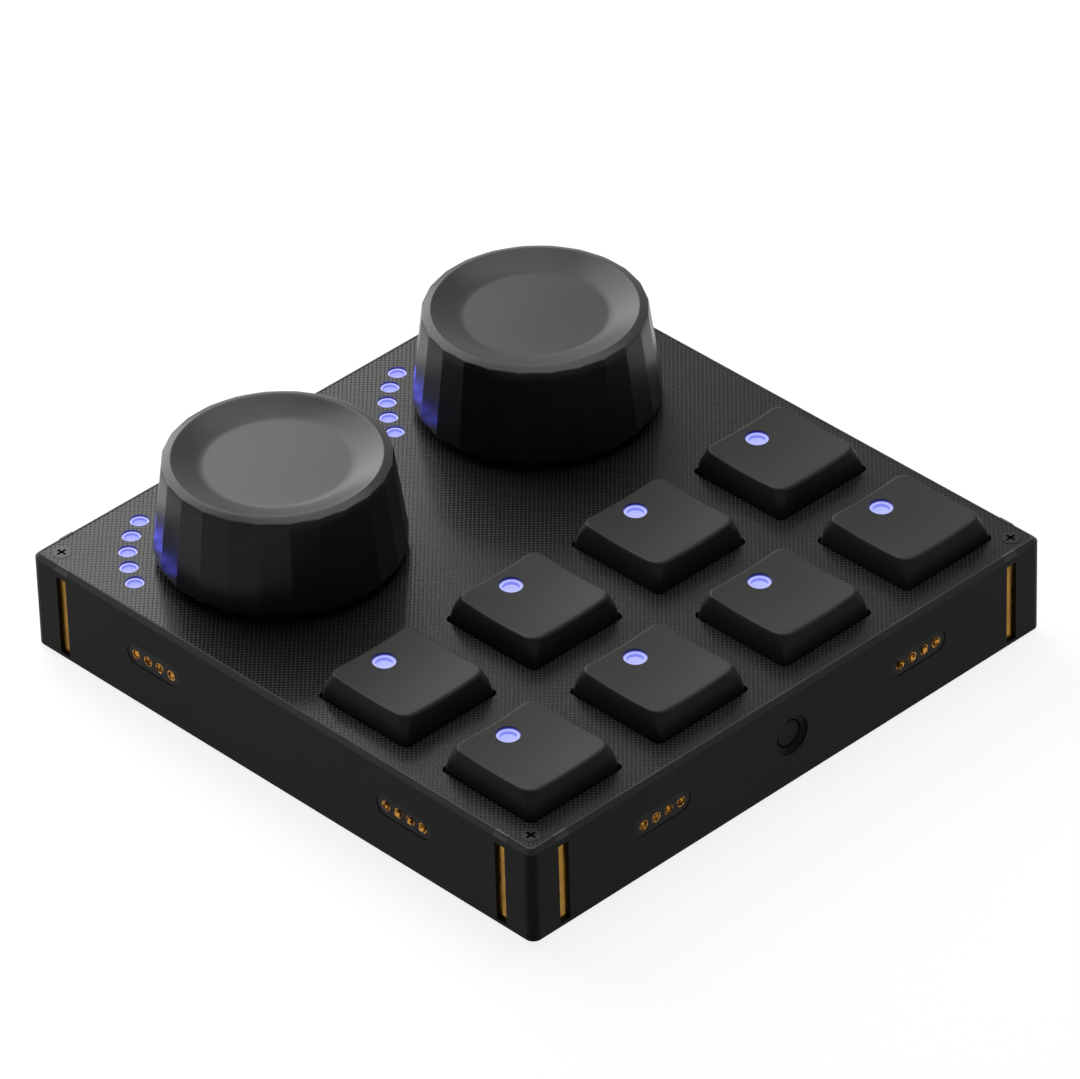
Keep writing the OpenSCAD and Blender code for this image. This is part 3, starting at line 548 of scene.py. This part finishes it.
# Widths at the foot, at the top, and of the hollow at its mouth and at its roof
CAP_FOOT_W, CAP_TOP_W, CAP_INSIDE_W, CAP_ROOF_W = 18.1, 16.3, 15.9, 14.4
CAP_EDGE_Z = PLATE_TOP + 3.9
CAP_ROOF_Z = CAP_EDGE_Z - 1.495
FOOT_CORNER, TOP_CORNER, INSIDE_CORNER, ROOF_CORNER = 0.8, 1.9, 0.6, 0.8
DISH_R = 80
CAP_MID_Z = CAP_EDGE_Z - (CAP_TOP_W / 2) ** 2 / (2 * DISH_R)
HOLE_R, HOLE_STEP, WINDOW_FLANGE = 1.8, 0.2, 0.35
PRONG_X, PRONG_SIZE, PRONG_H = 2.85, (1.2, 3), 2.5


def rounded_square(width, radius):
    """Points of a square with round corners, each with the outline's normal."""
    per_corner, per_side = 10, 8
    half = width / 2 - radius
    points = []
    for corner, (sx, sy) in enumerate(((1, 1), (-1, 1), (-1, -1), (1, -1))):
        for k in range(per_corner + 1):
            a = (corner + k / per_corner) * math.pi / 2
            n = Vector((math.cos(a), math.sin(a)))
            points.append((Vector((sx, sy)) * half + n * radius, n))
        start = points[-1][0]
        end = start + Vector((-n.y, n.x)) * (2 * half)
        for k in range(1, per_side):
            points.append((start.lerp(end, k / per_side), n))
    return points


def dish_z(p):
    """Height of the cap's dished top."""
    return CAP_MID_Z + (p.x * p.x + p.y * p.y) / (2 * DISH_R)


def level(width, radius, z):
    """Ring of points in the form of a rounded square, at one height."""
    return [(*p, z) for p, _ in rounded_square(width, radius)]


def cap_skirt(foot_z):
    """Rings from the mouth of the hollow round the foot and up the flared side."""
    rings = [level(CAP_INSIDE_W, INSIDE_CORNER, foot_z),
             level(CAP_FOOT_W - 0.3, FOOT_CORNER - 0.15, foot_z)]
    for t in (0.02, 0.1, 0.25, 0.45, 0.65, 0.8, 0.88):
        rings.append(level(CAP_FOOT_W - (CAP_FOOT_W - CAP_TOP_W) * t ** 2.5,
                           FOOT_CORNER + (TOP_CORNER - FOOT_CORNER) * t * t,
                           foot_z + (CAP_EDGE_Z - foot_z) * t))
    return rings


def cap_edge():
    """Rounded edge of the top: tight at the cap's sides and wider at its front and back.

    `bulge` is the share of the fillet by which its start lies outside the outline.
    """
    start, steps = math.radians(26), 7
    side_fillet, front_fillet, bulge = 0.35, 0.8, 0.26
    outline = rounded_square(CAP_TOP_W, TOP_CORNER)
    rings = []
    for k in range(steps + 1):
        a = start + (math.pi / 2 - start) * k / steps
        ring = []
        for p, n in outline:
            fillet = side_fillet * n.x * n.x + front_fillet * n.y * n.y
            p = p + n * fillet * (bulge - math.cos(start) + math.cos(a))
            ring.append((p.x, p.y, dish_z(p) - fillet * (1 - math.sin(a))))
        rings.append(ring)
    return rings


def cap_dish(edge, mouth):
    """Rings over the dished top, from its edge in to the mouth of the hole."""
    steps = 10
    rings = []
    for k in range(1, steps + 1):
        ring = []
        for outer, inner in zip(edge, mouth):
            p = Vector(outer[:2]).lerp(Vector(inner[:2]), k / steps)
            ring.append((p.x, p.y, dish_z(p)))
        rings.append(ring)
    return rings


def cap_inside(hole_end, foot_z):
    """Rings over the roof of the hollow, from the hole's lower end, and down its walls."""
    roof_edge = level(CAP_ROOF_W, ROOF_CORNER, CAP_ROOF_Z)
    rings = []
    for k in (1, 2, 3):
        rings.append([tuple(Vector(a).lerp(Vector(b), k / 3)) for a, b in zip(hole_end, roof_edge)])
    bend_z = foot_z + 0.45 * (CAP_ROOF_Z - foot_z)
    return rings + [level(CAP_INSIDE_W, INSIDE_CORNER, bend_z),
                    level(CAP_INSIDE_W, INSIDE_CORNER, foot_z)]


def make_keycap(i, material, hole_material):
    """Dished cap with a rounded top edge, a flared skirt and a stepped round light hole."""
    node = f"keycap_{i}"
    centre, low, _ = middle(node)
    window, _, window_high = middle(f"key_window_{i}")
    hole_y = window.y - centre.y
    ledge_z = window_high.z - WINDOW_FLANGE
    edge = cap_edge()
    bearings = [math.atan2(y - hole_y, x) for x, y, _ in edge[-1]]

    def round_hole(radius, z=None):
        """Circle of the hole, on the dish where no height is given."""
        ring = []
        for a in bearings:
            p = Vector((radius * math.cos(a), hole_y + radius * math.sin(a)))
            ring.append((p.x, p.y, dish_z(p) if z is None else z))
        return ring

    mouth = round_hole(HOLE_R + 0.08)
    hole = [[(x, y, z - 0.06) for x, y, z in round_hole(HOLE_R)],
            round_hole(HOLE_R, ledge_z),
            round_hole(HOLE_R - HOLE_STEP, ledge_z),
            round_hole(HOLE_R - HOLE_STEP, CAP_ROOF_Z)]
    rings = (cap_skirt(low.z) + edge + cap_dish(edge[-1], mouth) + hole
             + cap_inside(hole[-1], low.z))
    verts = [(centre.x + x, centre.y + y, z) for ring in rings for x, y, z in ring]
    faces = rings_to_faces(len(rings), len(bearings))
    for x in (-PRONG_X, PRONG_X):
        box_faces(verts, faces, (centre.x + x, centre.y), PRONG_SIZE,
                  CAP_ROOF_Z - PRONG_H, CAP_ROOF_Z + 0.05)
    piece = add_piece(node + "_shell", verts, faces, material)
    piece.data.materials.append(hole_material)
    for face in piece.data.polygons:
        place = face.center / MM - Vector((centre.x, window.y, 0))
        if abs(place.xy.length - HOLE_R) < HOLE_STEP / 2 and place.z > ledge_z:
            face.material_index = 1
    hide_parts(node)
    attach(piece, f"key_{i}")


def lit_wall_material():
    """Black plastic with the window's blue light on it, stronger lower down."""
    foot, middle_part, brink = (0.25, 0.27, 0.75), (0.03, 0.03, 0.32), (0.003, 0.003, 0.03)
    s = Shader("cap_hole_wall", (0.01, 0.01, 0.02), 0.4, 0.1)
    z = s.split(s.place())[2]
    window_z = middle("key_window_1")[2].z
    foot_z, middle_z, brink_z = ((window_z + rise) * MM for rise in (0, 0.15, 0.36))
    lower = s.mix(s.ramp(z, foot_z, middle_z), foot, middle_part)
    s.link(s.mix(s.ramp(z, middle_z, brink_z), lower, brink), "Emission Color")
    s.set("Emission Strength", 1.0)
    return s.material


cap_black = moulded("cap_matte", (0.017, 0.017, 0.0163), 0.42, 0.08, grain=3200, depth=0.003)
lit_wall = lit_wall_material()
for key in KEYS:
    make_keycap(key, cap_black, lit_wall)


# ---- Key springs ----

def make_spring(i, material):
    """Round wire in a helix, which shortens as its key goes down."""
    node = f"key_spring_{i}"
    centre, low, high = middle(node)
    turns, steps, sides, wire_r = 6, 24, 10, 0.15
    coil_r = (high.x - low.x) / 2 - wire_r
    z0, z1 = low.z + wire_r, high.z - wire_r
    count = turns * steps + 1
    verts = []
    for k in range(count):
        a = TAU * k / steps
        z = z0 + (z1 - z0) * k / (count - 1)
        for s in range(sides):
            b = TAU * s / sides
            r = coil_r + wire_r * math.cos(b)
            verts.append((centre.x + r * math.cos(a), centre.y + r * math.sin(a),
                          z + wire_r * math.sin(b)))
    faces = rings_to_faces(count, sides)
    faces += [tuple(range(sides)), tuple(range((count - 1) * sides, count * sides))]
    piece = add_piece(node + "_wire", verts, faces, material, smooth_below=50)
    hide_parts(node)
    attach(piece, "case_body")
    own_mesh(piece)


spring_steel = metal("spring_wire", (0.7, 0.7, 0.72), 0.28)
for key in KEYS:
    make_spring(key, spring_steel)


# ---- Floor, backdrop and lights ----

WORLD_FILL = 0.06
FLOOR_SIZE, FLOOR_GREY, FLOOR_GLOW = 6.0, 0.15, 0.86


def background_rays(tree):
    """1 for rays from the camera, from gloss and through glass, and 0 for the rest."""
    path = tree.nodes.new("ShaderNodeLightPath")
    value = path.outputs["Is Camera Ray"]
    for kind in ("Is Glossy Ray", "Is Transmission Ray"):
        either = tree.nodes.new("ShaderNodeMath")
        either.operation = "MAXIMUM"
        tree.links.new(value, either.inputs[0])
        tree.links.new(path.outputs[kind], either.inputs[1])
        value = either.outputs[0]
    return value


def make_world():
    """White to the camera, to gloss and to glass, and a plain grey fill for the rest."""
    world = bpy.data.worlds.new("studio")
    bpy.context.scene.world = world
    world.use_nodes = True
    tree = world.node_tree
    tree.nodes.clear()
    out = tree.nodes.new("ShaderNodeOutputWorld")
    mix = tree.nodes.new("ShaderNodeMixShader")
    tree.links.new(background_rays(tree), mix.inputs[0])
    for socket, strength in ((1, WORLD_FILL), (2, 1.0)):
        background = tree.nodes.new("ShaderNodeBackground")
        background.inputs["Color"].default_value = (1, 1, 1, 1)
        background.inputs["Strength"].default_value = strength
        tree.links.new(background.outputs[0], mix.inputs[socket])
    tree.links.new(mix.outputs[0], out.inputs["Surface"])


def make_floor():
    """Pale floor that is nearly white to the camera and keeps the object's shadow."""
    half = FLOOR_SIZE / 2
    mesh = bpy.data.meshes.new("floor")
    mesh.from_pydata([(-half, -half, 0), (half, -half, 0), (half, half, 0), (-half, half, 0)],
                     [], [(0, 1, 2, 3)])
    material = bpy.data.materials.new("floor_white")
    material.use_nodes = True
    tree = material.node_tree
    tree.nodes.clear()
    diffuse = tree.nodes.new("ShaderNodeBsdfDiffuse")
    diffuse.inputs["Color"].default_value = (FLOOR_GREY, FLOOR_GREY, FLOOR_GREY, 1)
    glow = tree.nodes.new("ShaderNodeEmission")
    strength = tree.nodes.new("ShaderNodeMath")
    strength.operation = "MULTIPLY"
    strength.inputs[1].default_value = FLOOR_GLOW
    add = tree.nodes.new("ShaderNodeAddShader")
    out = tree.nodes.new("ShaderNodeOutputMaterial")
    tree.links.new(background_rays(tree), strength.inputs[0])
    tree.links.new(strength.outputs[0], glow.inputs["Strength"])
    tree.links.new(glow.outputs[0], add.inputs[0])
    tree.links.new(diffuse.outputs[0], add.inputs[1])
    tree.links.new(add.outputs[0], out.inputs["Surface"])
    mesh.materials.append(material)
    floor = bpy.data.objects.new("floor", mesh)
    bpy.context.scene.collection.objects.link(floor)


def add_lamp(name, place, aim, size, radiance, color=(1, 1, 1), shape="SQUARE", roll=0):
    """Flat lamp at a place in metres, facing its aim, with the same brightness all over."""
    data = bpy.data.lights.new(name, "AREA")
    data.shape = shape
    data.size = size
    area = size * size * (math.pi / 4 if shape == "DISK" else 1)
    data.energy = radiance * math.pi * area
    data.color = color
    lamp = bpy.data.objects.new(name, data)
    lamp.location = place
    lamp.rotation_mode = "QUATERNION"
    facing = (Vector(aim) - Vector(place)).to_track_quat("-Z", "Y")
    lamp.rotation_quaternion = facing @ Quaternion((0, 0, 1), math.radians(roll))
    bpy.context.scene.collection.objects.link(lamp)
    return lamp


def add_softbox(name, azimuth, elevation, distance, size, radiance, roll=0):
    """Lamp that faces the object from a bearing (from +X towards +Y) and a height, in degrees."""
    turn, rise = math.radians(azimuth), math.radians(elevation)
    ray = Vector((math.cos(turn) * math.cos(rise), math.sin(turn) * math.cos(rise),
                  math.sin(rise)))
    aim = Vector((0, 0, 0.02))
    return add_lamp(name, aim + ray * distance, aim, size, radiance, roll=roll)


def add_arc_glow():
    """The light guides' own light on the knobs' sides: one small lamp over each guide."""
    guide_d = 4.2
    for side in (-1, 1):
        for k, degrees in enumerate((115, 125, 135, 145, 155)):
            a = math.radians(degrees)
            place = Vector((side * KNOB_X + ARC_R * math.cos(a),
                            KNOB_Y + ARC_R * math.sin(a), PLATE_TOP + 0.05)) * MM
            lamp = add_lamp(f"arc_lamp_{side}_{k}", place, place + Vector((0, 0, 1)),
                            size=guide_d * MM, radiance=3.2, color=(0.08, 0.08, 1),
                            shape="DISK")
            lamp.visible_camera = False


make_world()
make_floor()
add_softbox("softbox_back", azimuth=82, elevation=32, distance=0.5, size=0.44, radiance=6.3,
            roll=45)
add_softbox("softbox_top", azimuth=20, elevation=70, distance=0.9, size=0.6, radiance=4.5)
add_arc_glow()

bpy.context.scene.view_settings.view_transform = "Standard"
